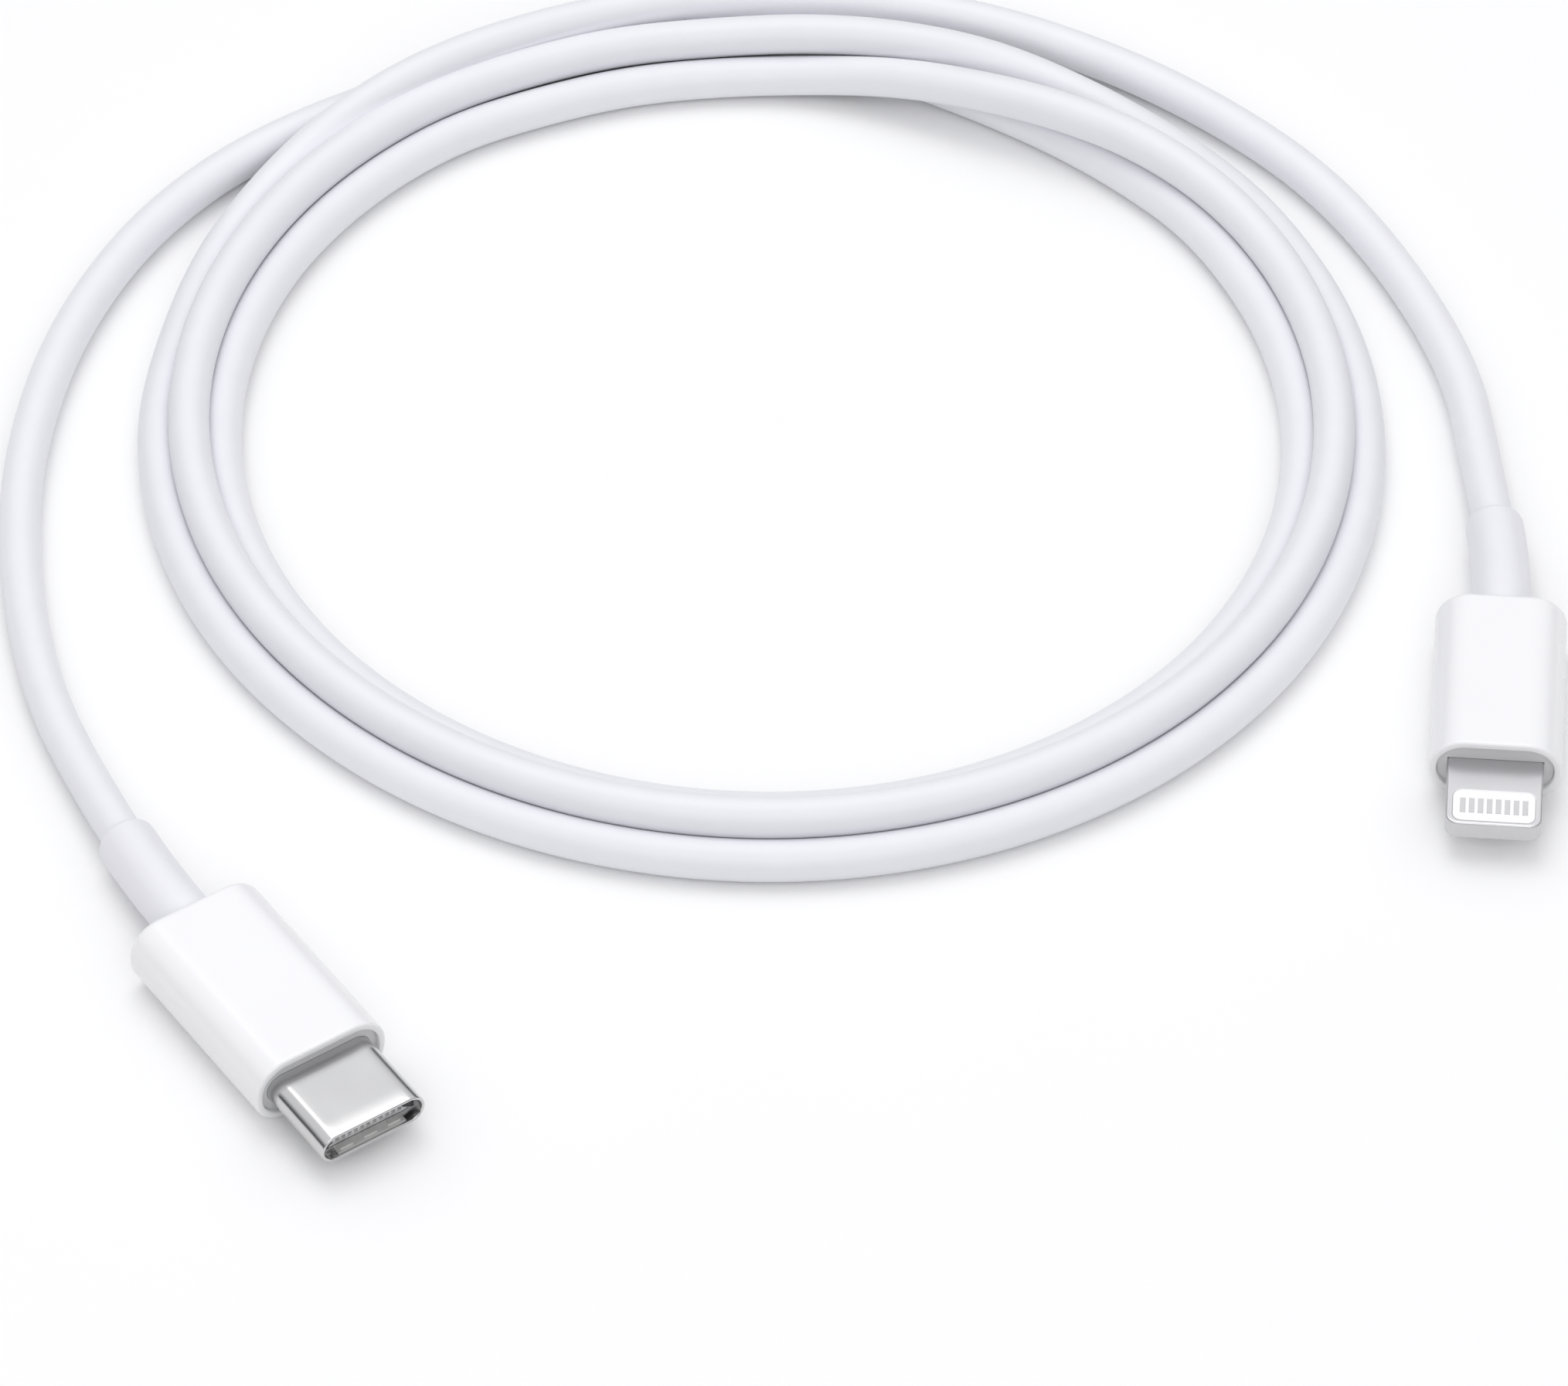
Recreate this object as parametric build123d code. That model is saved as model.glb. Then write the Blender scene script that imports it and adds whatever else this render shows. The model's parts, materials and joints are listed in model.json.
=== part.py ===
from build123d import *
from math import cos, pi, radians, sin, tan
import os

# Charging cable: a flat hollow plug for a charger, a solid flat tab plug for a phone, and the
# cord between them, coiled on a table. Millimetres, +Z up, the table at z = 0. The phone plug
# goes in along -Y. The origin is under the middle of the two plugs, on the table.
#
# Each plug is made in its own frame first: X across, Z up, Y back from the plug's tip to the cord.

# --- cord ---
CORD_D = 3.0
COIL_CENTRE = (-8.3, 40.2)
INNER_LANE_R = 39.2          # the two turns on the table
OUTER_LANE_R = 43.8
FIRST_RUN = 7.0              # straight cord out of each strain relief

# --- where each plug lies: the cord's exit from it, and the way it points ---
CHARGER_EXIT = (-48.7, -5.55)
CHARGER_YAW = 39.4
PHONE_EXIT = (44.9, 33.75)
PHONE_YAW = 0.0

# --- charger plug ---
SHELL_W, SHELL_H = 8.25, 2.40
SHELL_WALL = 0.25
SHELL_REACH = 6.5            # metal standing out of the housing
SHELL_INSIDE = 4.0           # metal held in the housing
SHELL_LIP = 0.10             # rounding of the mouth's edges
CHARGER_SIDE_ROOM = 0.525    # shell to the inside of the housing's wall, each side
CHARGER_OVER_ROOM = 0.90     # the same, above and below
CHARGER_BOARD = 5.1          # board behind the metal
CARRIER_SETBACK = 1.1        # mouth to the contact carrier
TONGUE_SLOT_H = 0.80
TONGUE_SLOT_DEPTH = 5.6
LATCH_THICK = 0.20
LATCH_H = 0.46
LATCH_CLEAR = 0.29           # carrier's side to a latch, which it springs out into
LATCH_LEAD = 0.55            # latch tips ahead of the carrier
HOOK_DEPTH = 0.50
HOOK_NOSE, HOOK_L, HOOK_SLOPE = 0.30, 0.25, 0.35   # lengths of a hook's front slope, flat and back slope
PLATE_THICK = 0.18
PLATE_SLOT = 0.24
SHELL_CONTACTS = 12
SHELL_PITCH = 0.50
SHELL_CONTACT_W = 0.22
CONTACT_THICK = 0.15
CONTACT_DIP = 0.14           # how far an arm's contact point stands in the slot
CONTACT_LEAD = 0.05          # turned-up tip of an arm
GROOVE_GAP = 0.04            # beside each contact
CONTACT_TRAVEL = 0.20        # room above a contact arm
SPRING_SIDE = 0.225          # ground spring to the round of the shell
SPRING_THICK = 0.08
SPRING_PAD_W, SPRING_PAD_H = 1.0, 0.10

# --- phone plug ---
TAB_W, TAB_H = 6.70, 1.50
TAB_CORNER = 0.90            # plan rounding of the tab's tip
TAB_EDGE = 0.16              # rounding along the tab's edges
TAB_REACH = 6.0
TAB_INSIDE = 4.2
TAB_CHEEK = 0.9              # steel beside the board
TAB_SKIN = 0.3               # steel between the field and the board
PHONE_SIDE_ROOM = 0.75
PHONE_OVER_ROOM = 1.30
PHONE_BOARD = 3.7
PAD_FIELD_SIDE = 0.475       # steel beside the white field
PAD_FIELD_L = 2.95
PAD_FIELD_CORNER = 0.62
PAD_FIELD_SETBACK = 0.32     # tip to the white field
PADS = 8
PAD_MARGIN = 0.525           # field's side to the first pad
PAD_W, PAD_L = 0.36, 1.40
PAD_CORNER = 0.06
PAD_THICK = 0.15
PAD_PROUD = 0.01
NOTCH_L, NOTCH_H, NOTCH_DEPTH = 1.1, 0.8, 0.15

# --- housings, the same build at both ends ---
HOUSING_CORNER = 2.5
HOUSING_WALL = 0.55
BACK_WALL = 1.0
RIM_ROUND = 0.22
BACK_ROUND = 0.50
COLLAR_RECESS = 0.35         # collar's face behind the rim
COLLAR_THICK = 0.8
SNUG = 0.02                  # between parts that hold each other
SPLIT = 0.01                 # half of the gap between parts that meet at the middle plane
LOOSE = 0.25                 # round the shield can

# --- board, conductors and screening ---
BOARD_THICK = 0.70
BOARD_SIDE_GAP = 0.6         # charger's board to its shield can
TAIL_ON_BOARD = 1.5
WIRE_ON_BOARD = 1.4
WIRE_D = 0.70
WIRE_SPREAD = 0.90           # half the spacing of the wires on the board
CORE_SPREAD = 0.50           # half their spacing inside the cord
CHIP_W, CHIP_H = 2.4, 0.65
SMALL_PART = (0.5, 0.9, 0.4)
CAN_WALL = 0.20
FAN_ROOM = 0.8               # board to inner moulding
MOULD_L = 1.5
MOULD_GAP = 0.2              # inner moulding to the shield can
CAN_GAP = 0.3
BRAID_THICK = 0.10
CRIMP_WALL = 0.25
CRIMP_L = 1.4

# --- strain reliefs ---
RELIEF_WALL = 0.6
RELIEF_L = 10.1
RELIEF_ROUND = 0.45
RELIEF_BEND = 10.0           # degrees that each one bends over its length
RELIEF_DROOP = 25.0          # how far that bend's plane dips below level
HEAD_SIDE, HEAD_OVER, HEAD_L = 1.2, 0.2, 1.65   # the head inside the housing, past the cord

# --- the cord's tails; each starts at its plug's exit, and the last points lie in the coil ---
CHARGER_TAIL = [
    (-56.7, 9.4, 1.5), (-60.1, 21.6, 1.5), (-61.3, 34.2, 1.5), (-59.7, 47.6, 1.5),
    (-54.7, 60.1, 1.5), (-46.0, 70.0, 1.5), (-36.2, 76.8, 1.5),
]
PHONE_TAIL = [
    (42.2, 50.0, 1.5), (37.5, 60.6, 1.5), (31.2, 69.9, 1.6), (23.3, 76.5, 2.7), (14.3, 81.0, 4.3),
    (3.7, 85.0, 4.7), (-8.3, 86.3, 4.6), (-19.3, 84.4, 4.7), (-28.8, 80.4, 4.8), (-36.6, 75.2, 4.6),
    (-42.8, 69.1, 3.6), (-47.5, 61.9, 2.0), (-50.7, 53.2, 1.5),
]

os.makedirs("parts", exist_ok=True)


# --- helpers ---
def cross_section(y, x=0.0, z=0.0):
    """The plane across the plug at y, facing the tip."""
    return Plane(origin=(x, y, z), x_dir=(1, 0, 0), z_dir=(0, -1, 0))


def bar(width, height, corner, y_front, y_back, x=0.0, z=0.0):
    """A rounded bar along the plug."""
    return extrude(cross_section(y_back, x, z) * RectangleRounded(width, height, corner), y_back - y_front)


def flat_bar(width, height, y_front, y_back, x=0.0, z=0.0):
    """A square-edged bar along the plug."""
    return extrude(cross_section(y_back, x, z) * Rectangle(width, height), y_back - y_front)


def slot_bar(width, height, y_front, y_back):
    """A bar with fully round sides along the plug."""
    return extrude(cross_section(y_back) * SlotOverall(width, height), y_back - y_front)


def rod(diameter, y_front, y_back, x=0.0, z=0.0):
    return extrude(cross_section(y_back, x, z) * Circle(diameter / 2), y_back - y_front)


def side_profile(points, width, x=0.0):
    """A strip cut from a profile of (y, z) points, width across."""
    return extrude(Plane.YZ.offset(x) * Polygon(*points, align=None), width / 2, both=True)


def upside_down(points):
    return [(y, -z) for y, z in reversed(points)]


def half(shape, side):
    """The upper (+1) or lower (-1) half of a part, cut just off the middle plane."""
    big = 60.0
    keep = Pos(0, 0, side * (big / 2 + SPLIT)) * Box(big, 2 * big, big)
    return shape & keep


class Stations:
    """Where things sit along one plug, from its tip."""

    def __init__(self, reach, inside, board):
        self.rim = reach
        self.collar = reach + COLLAR_RECESS
        self.metal_end = reach + inside
        self.board_end = self.metal_end + board
        self.wire_start = self.board_end - WIRE_ON_BOARD
        self.mould = self.board_end + FAN_ROOM
        self.can_end = self.mould + MOULD_L + CAN_GAP + CAN_WALL
        self.jacket = self.can_end + CAN_GAP / 2
        self.crimp = self.jacket + 0.1
        self.head = self.crimp + CRIMP_L + CAN_GAP / 2
        self.back_wall = self.head + HEAD_L + SNUG
        self.back = self.back_wall + BACK_WALL


CHARGER = Stations(SHELL_REACH, SHELL_INSIDE, CHARGER_BOARD)
PHONE = Stations(TAB_REACH, TAB_INSIDE, PHONE_BOARD)
RELIEF_D = CORD_D + 2 * RELIEF_WALL
BRAID_D = CORD_D + 2 * SNUG + 2 * BRAID_THICK
CRIMP_D = BRAID_D + 2 * SNUG + 2 * CRIMP_WALL


def housing_height(metal_h, over):
    """Room for the metal or for the crimp ring, whichever needs more, and the walls."""
    return max(metal_h + 2 * over, CRIMP_D + CAN_GAP) + 2 * HOUSING_WALL


CHARGER_W = SHELL_W + 2 * (CHARGER_SIDE_ROOM + HOUSING_WALL)
CHARGER_H = housing_height(SHELL_H, CHARGER_OVER_ROOM)
CHARGER_BOARD_W = CHARGER_W - 2 * (HOUSING_WALL + LOOSE + CAN_WALL + BOARD_SIDE_GAP)
PHONE_W = TAB_W + 2 * (PHONE_SIDE_ROOM + HOUSING_WALL)
PHONE_H = housing_height(TAB_H, PHONE_OVER_ROOM)
PHONE_BOARD_W = TAB_W - 2 * TAB_CHEEK


# --- parts that both plugs have ---
def inset_bar(width, height, inset, y_front, y_back):
    """A bar of a housing's outline, set in all round; its corners stay rounder than a full slot."""
    corner = min(HOUSING_CORNER, 0.49 * height) - inset
    return bar(width - 2 * inset, height - 2 * inset, corner, y_front, y_back)


def housing(width, height, at):
    body = inset_bar(width, height, 0, at.rim, at.back)
    body = fillet(body.faces().sort_by(Axis.Y)[0].edges(), RIM_ROUND)
    body = fillet(body.faces().sort_by(Axis.Y)[-1].edges(), BACK_ROUND)
    room = inset_bar(width, height, HOUSING_WALL, at.rim - 1, at.back_wall)
    return body - room - rod(RELIEF_D + 2 * SNUG, at.back_wall - 1, at.back + 1)


def collar(width, height, at, opening):
    """The recessed front plate that closes the housing round the metal."""
    return inset_bar(width, height, HOUSING_WALL + SNUG, at.collar, at.collar + COLLAR_THICK) - opening


def shield_can(width, height, at, opening, side):
    inset = HOUSING_WALL + LOOSE
    front = at.metal_end - 2 * LOOSE - CAN_WALL
    can = inset_bar(width, height, inset, front, at.can_end)
    can -= inset_bar(width, height, inset + CAN_WALL, front + CAN_WALL, at.can_end - CAN_WALL)
    core_hole = 2 * (CORE_SPREAD * 2 ** 0.5 + WIRE_D / 2) + CAN_GAP
    return half(can - opening - rod(core_hole, at.can_end - 1, at.can_end + 1), side)


def wire(at, side_x, side_z, diameter=WIRE_D):
    """One conductor, from its solder pad back into the cord."""
    high = BOARD_THICK / 2 + SNUG + WIRE_D / 2
    on_board = (side_x * WIRE_SPREAD, side_z * high)
    in_core = (side_x * CORE_SPREAD, side_z * CORE_SPREAD)
    path = FilletPolyline(
        (on_board[0], at.wire_start, on_board[1]),
        (on_board[0], at.mould, on_board[1]),
        (in_core[0], at.mould + MOULD_L, in_core[1]),
        (in_core[0], at.jacket - SNUG, in_core[1]),
        radius=WIRE_D,
    )
    return sweep(cross_section(at.wire_start, *on_board) * Circle(diameter / 2), path=path)


CORNERS = {"power": (1, 1), "ground": (-1, 1), "data_plus": (1, -1), "data_minus": (-1, -1)}


def inner_mould(width, height, at):
    inset = HOUSING_WALL + LOOSE + CAN_WALL + MOULD_GAP
    block = inset_bar(width, height, inset, at.mould, at.mould + MOULD_L)
    for side_x, side_z in CORNERS.values():
        block -= wire(at, side_x, side_z, WIRE_D + 2 * SNUG)
    return block


def ring(inner_d, outer_d, y_front, y_back):
    return rod(outer_d, y_front, y_back) - rod(inner_d, y_front - 1, y_back + 1)


def bend_frame(at, side_x):
    """Start and sideways direction of a strain relief's bend, in the plug's frame."""
    start = Vector(0, at.back, 0)
    sideways = Vector(side_x * cos(radians(RELIEF_DROOP)), 0, -sin(radians(RELIEF_DROOP)))
    return start, sideways


def bent_rod(diameter, at, side_x):
    """A round bar along the bend, starting square on the housing's back."""
    start, sideways = bend_frame(at, side_x)
    bend_r = RELIEF_L / radians(RELIEF_BEND)
    turning = Axis(start + sideways * bend_r, Vector(0, 1, 0).cross(sideways))
    return revolve(cross_section(at.back) * Circle(diameter / 2), turning, RELIEF_BEND)


def strain_relief(at, side_x):
    tail = bent_rod(RELIEF_D, at, side_x)
    end = tail.faces().filter_by(GeomType.PLANE).sort_by(Axis.Y)[-1]
    tail = fillet(end.edges(), min(RELIEF_ROUND, 0.8 * RELIEF_WALL))
    head_w, head_h = CORD_D + 2 * HEAD_SIDE, CORD_D + 2 * HEAD_OVER
    head = bar(head_w, head_h, head_h / 3, at.head, at.head + HEAD_L)
    neck = rod(min(RELIEF_D, head_h), at.head, at.back) + rod(RELIEF_D, at.back_wall, at.back)
    bore_d = CORD_D + 2 * SNUG
    return head + neck + tail - bent_rod(bore_d, at, side_x) - rod(bore_d, at.head - 1, at.back)


def jacket_end(at, side_x):
    """The cord's jacket inside the plug and its strain relief."""
    return rod(CORD_D, at.jacket, at.back) + bent_rod(CORD_D, at, side_x)


def board(width, at, y_front):
    return flat_bar(width, BOARD_THICK, y_front, at.board_end)


def chip(at, tail_end):
    """The controller, on top between the contacts' tails and the wires."""
    y_front, y_back = tail_end + LOOSE, at.wire_start - LOOSE
    z = BOARD_THICK / 2 + SNUG + CHIP_H / 2
    return flat_bar(CHIP_W, CHIP_H, y_front, y_back, z=z)


def small_parts(at, spacing):
    """Two capacitors beside the chip, and a row of parts under the board."""
    wide, long, high = SMALL_PART
    z = BOARD_THICK / 2 + SNUG + high / 2
    y = at.wire_start - LOOSE - long / 2
    places = [(side * (CHIP_W / 2 + LOOSE + wide), z) for side in (-1, 1)]
    places += [(step * spacing, -z) for step in (-1, 0, 1)]
    return Compound(children=[Pos(x, y, height) * Box(wide, long, high) for x, height in places])


def shared_parts(width, height, at, opening, side_x):
    """Everything that is built alike at both ends, by name."""
    made = {
        "housing": housing(width, height, at),
        "front_collar": collar(width, height, at, opening),
        "upper_shield_can": shield_can(width, height, at, opening, 1),
        "lower_shield_can": shield_can(width, height, at, opening, -1),
        "inner_mould": inner_mould(width, height, at),
        "braid_end": ring(CORD_D + 2 * SNUG, BRAID_D, at.crimp, at.crimp + CRIMP_L),
        "crimp_ring": ring(BRAID_D + 2 * SNUG, CRIMP_D, at.crimp, at.crimp + CRIMP_L),
        "strain_relief": strain_relief(at, side_x),
        "jacket_end": jacket_end(at, side_x),
    }
    for name, (right, up) in CORNERS.items():
        made[name + "_wire"] = wire(at, right, up)
    return made


# --- charger plug ---
def shell():
    tube = slot_bar(SHELL_W, SHELL_H, 0, CHARGER.metal_end)
    tube -= slot_bar(SHELL_W - 2 * SHELL_WALL, SHELL_H - 2 * SHELL_WALL, -1, CHARGER.metal_end + 1)
    return fillet(tube.faces().sort_by(Axis.Y)[0].edges(), SHELL_LIP)


CARRIER_W = SHELL_W - 2 * SHELL_WALL - 4 * SNUG
CARRIER_H = SHELL_H - 2 * SHELL_WALL - 4 * SNUG
SLOT_HALF = TONGUE_SLOT_H / 2
LATCH_OUT = CARRIER_W / 2 - LATCH_CLEAR          # outer face of a latch arm at rest
LATCH_IN = LATCH_OUT - LATCH_THICK
LATCH_TIP = CARRIER_SETBACK - LATCH_LEAD
LATCH_ROOT = TONGUE_SLOT_DEPTH + 0.55
PLATE_FRONT = LATCH_ROOT + 0.1                   # the latches bend in the gap before it
CROSSBAR_L = 1.2                                 # the plate's wide front part
ARM_LOW = SLOT_HALF - SNUG                       # underside of an upper contact arm
ARM_TIP = CARRIER_SETBACK + 0.25
ARM_BUMP = ARM_TIP + 0.5                         # middle of an arm's contact point
BUMP_HALF = 0.1
BUMP_END = ARM_BUMP + 0.65
ARM_END = TONGUE_SLOT_DEPTH - 0.15
TAIL_START = ARM_END + 0.1                       # the arms bend in the gap before the tails
GROOVE_TOP = ARM_LOW + CONTACT_THICK + CONTACT_TRAVEL
CARRIER_END = CHARGER.metal_end - 0.1
BOARD_FRONT = CHARGER.metal_end + 0.2
TAILS_END = BOARD_FRONT + TAIL_ON_BOARD


def contact_columns():
    first = -(SHELL_CONTACTS - 1) / 2 * SHELL_PITCH
    return [first + step * SHELL_PITCH for step in range(SHELL_CONTACTS)]


def contact_carrier():
    block = slot_bar(CARRIER_W, CARRIER_H, CARRIER_SETBACK, CARRIER_END)
    block -= flat_bar(CARRIER_W - 4 * LATCH_THICK, TONGUE_SLOT_H, 0, TONGUE_SLOT_DEPTH)
    for side in (-1, 1):
        x = side * (LATCH_IN - LATCH_THICK / 2 + SHELL_W / 4)
        block -= flat_bar(SHELL_W / 2, TONGUE_SLOT_H - 2 * SNUG, 0, LATCH_ROOT + LOOSE, x=x)
    block -= flat_bar(2 * LATCH_OUT + 2 * SNUG, PLATE_SLOT, PLATE_FRONT - 0.05, CARRIER_END + 1)
    groove_w = SHELL_CONTACT_W + 2 * GROOVE_GAP
    groove_h = GROOVE_TOP - ARM_LOW + SNUG
    for x in contact_columns():
        for side in (-1, 1):
            z = side * (GROOVE_TOP - groove_h / 2)
            block -= flat_bar(groove_w, groove_h, CARRIER_SETBACK - 1, CARRIER_END + 1, x=x, z=z)
    return block


def contact_row(points):
    strips = [side_profile(points, SHELL_CONTACT_W, x) for x in contact_columns()]
    return Compound(children=strips)


def arm_profile():
    """Side view of an upper contact arm: a strip that dips to its contact point near the tip."""
    low, top = ARM_LOW, ARM_LOW + CONTACT_THICK
    return [
        (ARM_TIP, low - CONTACT_LEAD), (ARM_BUMP - BUMP_HALF, low - CONTACT_DIP),
        (ARM_BUMP + BUMP_HALF, low - CONTACT_DIP), (BUMP_END, low), (ARM_END, low),
        (ARM_END, top), (BUMP_END - CONTACT_LEAD, top), (ARM_BUMP + BUMP_HALF, top - CONTACT_DIP),
        (ARM_BUMP - BUMP_HALF, top - CONTACT_DIP), (ARM_TIP, top - CONTACT_LEAD),
    ]


def tail_profile():
    low, top = ARM_LOW, ARM_LOW + CONTACT_THICK
    return [(TAIL_START, low), (TAILS_END, low), (TAILS_END, top), (TAIL_START, top)]


def latch(side):
    """A sprung side arm with a hook that drops into the socket's tongue."""
    hook = LATCH_IN - HOOK_DEPTH
    hook_front = LATCH_TIP + HOOK_NOSE
    hook_back = hook_front + HOOK_L
    plan = [
        (LATCH_IN, LATCH_ROOT), (LATCH_IN, hook_back + HOOK_SLOPE), (hook, hook_back),
        (hook, hook_front), (LATCH_IN, LATCH_TIP), (LATCH_OUT, LATCH_TIP), (LATCH_OUT, LATCH_ROOT),
    ]
    if side < 0:
        plan = [(-x, y) for x, y in reversed(plan)]
    return extrude(Plane.XY * Polygon(*plan, align=None), LATCH_H / 2, both=True)


def middle_plate():
    """The shield plate between the two contact rows, which the latches spring from."""
    narrow = 2 * (LATCH_IN - LATCH_THICK)
    plate = flat_bar(narrow, PLATE_THICK, PLATE_FRONT, CARRIER_END + 0.05)
    return plate + flat_bar(2 * LATCH_OUT, PLATE_THICK, PLATE_FRONT, PLATE_FRONT + CROSSBAR_L)


def ground_spring(side):
    """A thin strip inside the mouth, with pads that press on the socket's tongue."""
    top = SHELL_H / 2 - SHELL_WALL - SNUG
    width = SHELL_W - SHELL_H - 2 * SPRING_SIDE
    front, back = SHELL_WALL, CARRIER_SETBACK - 0.1
    strip = flat_bar(width, SPRING_THICK, front, back, z=side * (top - SPRING_THICK / 2))
    for step in (-1, 0, 1):
        x = step * 0.35 * width
        z = side * (top - SPRING_THICK - SPRING_PAD_H / 2)
        strip += flat_bar(SPRING_PAD_W, SPRING_PAD_H, front + 0.2, back - 0.1, x=x, z=z)
    return strip


def charger_parts():
    opening = slot_bar(SHELL_W + 2 * SNUG, SHELL_H + 2 * SNUG, 0, CHARGER.metal_end)
    made = shared_parts(CHARGER_W, CHARGER_H, CHARGER, opening, 1)
    made["shell"] = shell()
    made["contact_carrier"] = contact_carrier()
    made["upper_contact_arms"] = contact_row(arm_profile())
    made["lower_contact_arms"] = contact_row(upside_down(arm_profile()))
    made["upper_contact_tails"] = contact_row(tail_profile())
    made["lower_contact_tails"] = contact_row(upside_down(tail_profile()))
    made["right_latch"] = latch(1)
    made["left_latch"] = latch(-1)
    made["middle_plate"] = middle_plate()
    made["upper_ground_spring"] = ground_spring(1)
    made["lower_ground_spring"] = ground_spring(-1)
    made["circuit_board"] = board(CHARGER_BOARD_W, CHARGER, BOARD_FRONT)
    made["controller_chip"] = chip(CHARGER, TAILS_END)
    made["small_components"] = small_parts(CHARGER, 2.1)
    return made


# --- phone plug ---
PAD_FIELD_W = TAB_W - 2 * PAD_FIELD_SIDE
PAD_PITCH = (PAD_FIELD_W - 2 * PAD_MARGIN - PAD_W) / (PADS - 1)
FIELD_MIDDLE = PAD_FIELD_SETBACK + PAD_FIELD_L / 2
FIELD_END = PAD_FIELD_SETBACK + PAD_FIELD_L


def field_block(width, length, height):
    """The outline of the white field, through the tab."""
    plan = RectangleRounded(width, length, PAD_FIELD_CORNER)
    return extrude(Plane.XY * Pos(0, FIELD_MIDDLE) * plan, height / 2, both=True)


def tab_frame():
    plan = RectangleRounded(TAB_W, 2 * PHONE.metal_end, TAB_CORNER)
    frame = extrude(Plane.XY * Pos(0, PHONE.metal_end) * plan, TAB_H / 2, both=True)
    frame = frame & Pos(0, PHONE.metal_end / 2, 0) * Box(2 * TAB_W, PHONE.metal_end, 2 * TAB_H)
    long_edges = frame.faces().filter_by(Axis.Z).edges() - frame.faces().sort_by(Axis.Y)[-1].edges()
    frame = fillet(long_edges, TAB_EDGE)
    frame -= field_block(PAD_FIELD_W, PAD_FIELD_L, 2 * TAB_H)
    room_w, room_h = PHONE_BOARD_W + 4 * SNUG, BOARD_THICK + 4 * SNUG
    frame -= flat_bar(room_w, room_h, FIELD_END + TAB_SKIN, PHONE.metal_end + 1)
    for side in (-1, 1):
        x = side * (TAB_W - NOTCH_DEPTH)
        frame -= Pos(x, FIELD_MIDDLE + NOTCH_L / 2, 0) * Box(TAB_W, NOTCH_L, NOTCH_H)
    return frame


def pad_columns():
    first = -(PADS - 1) / 2 * PAD_PITCH
    return [first + step * PAD_PITCH for step in range(PADS)]


def pad_carrier(side):
    """The white moulding that fills half of the tab's window, with a pocket for each pad."""
    block = field_block(PAD_FIELD_W - 2 * SNUG, PAD_FIELD_L - 2 * SNUG, TAB_H)
    for x in pad_columns():
        z = side * (TAB_H / 2 - PAD_THICK / 2 + PAD_PROUD)
        block -= Pos(x, FIELD_MIDDLE, z) * Box(PAD_W, PAD_L, PAD_THICK + 2 * PAD_PROUD)
    return half(block, side)


def pads(side):
    z = side * (TAB_H / 2 - PAD_THICK / 2 + PAD_PROUD)
    plan = RectangleRounded(PAD_W - 2 * PAD_PROUD, PAD_L - 2 * PAD_PROUD, PAD_CORNER)
    shape = extrude(plan, PAD_THICK / 2, both=True)
    return Compound(children=[Pos(x, FIELD_MIDDLE, z) * shape for x in pad_columns()])


def phone_parts():
    opening = flat_bar(TAB_W + 2 * SNUG, TAB_H + 2 * SNUG, 0, PHONE.metal_end)
    made = shared_parts(PHONE_W, PHONE_H, PHONE, opening, -1)
    made["tab_frame"] = tab_frame()
    made["upper_contact_carrier"] = pad_carrier(1)
    made["lower_contact_carrier"] = pad_carrier(-1)
    made["upper_contacts"] = pads(1)
    made["lower_contacts"] = pads(-1)
    made["circuit_board"] = board(PHONE_BOARD_W, PHONE, FIELD_END + TAB_SKIN + 0.1)
    made["controller_chip"] = chip(PHONE, PHONE.metal_end)
    made["small_components"] = small_parts(PHONE, 1.5)
    return made


# --- cord ---
def exit_point(at, side_x, exit_xy, yaw, height):
    """Where the cord leaves a strain relief, and its direction there, on the table."""
    _, sideways = bend_frame(at, side_x)
    bend_r = RELIEF_L / radians(RELIEF_BEND)
    bend = radians(RELIEF_BEND)
    local_exit = Vector(0, at.back + bend_r * sin(bend), 0) + sideways * bend_r * (1 - cos(bend))
    direction = (Vector(0, 1, 0) * cos(bend) + sideways * sin(bend)).rotate(Axis.Z, yaw)
    turned = local_exit.rotate(Axis.Z, yaw)
    shift = Vector(exit_xy[0] - turned.X, exit_xy[1] - turned.Y, height / 2)
    return shift, turned + shift, direction


def coil():
    """The three turns as one closed ring: two on the table and one nestled on top of them."""
    r = CORD_D / 2
    half_gap = (OUTER_LANE_R - INNER_LANE_R) / 2
    top = r + (CORD_D ** 2 - half_gap ** 2) ** 0.5
    lanes = [(INNER_LANE_R, r), (OUTER_LANE_R, r), (INNER_LANE_R + half_gap, top)]
    circles = [Pos(x, z) * Circle(r).edge() for x, z in lanes]
    section = Plane.XZ * make_face(make_hull(circles))
    return Pos(*COIL_CENTRE, 0) * revolve(section, Axis.Z)


def tube(name, points):
    """A cord of straight runs and tangent arcs, each arc as large as its two runs allow."""
    corners = [Vector(*p) for p in points]
    runs = [b - a for a, b in zip(corners, corners[1:])]
    radii = []
    for before, after in zip(runs, runs[1:]):
        turn = radians(before.get_angle(after))
        radii.append(0.45 * min(before.length, after.length) / tan(turn / 2))
    path = FilletPolyline(*corners, radius=radii)
    made = sweep(Plane(origin=corners[0], z_dir=runs[0]) * Circle(CORD_D / 2), path=path)
    ideal = pi * CORD_D ** 2 / 4 * path.length
    print(f"{name}: {path.length:.1f} mm, volume {made.volume / ideal:.4f} of section x length, radii",
          " ".join(f"{value:.0f}" for value in radii))
    return made


# --- write every node ---
def write(name, shape):
    export_step(shape, f"parts/{name}.step")


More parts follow.
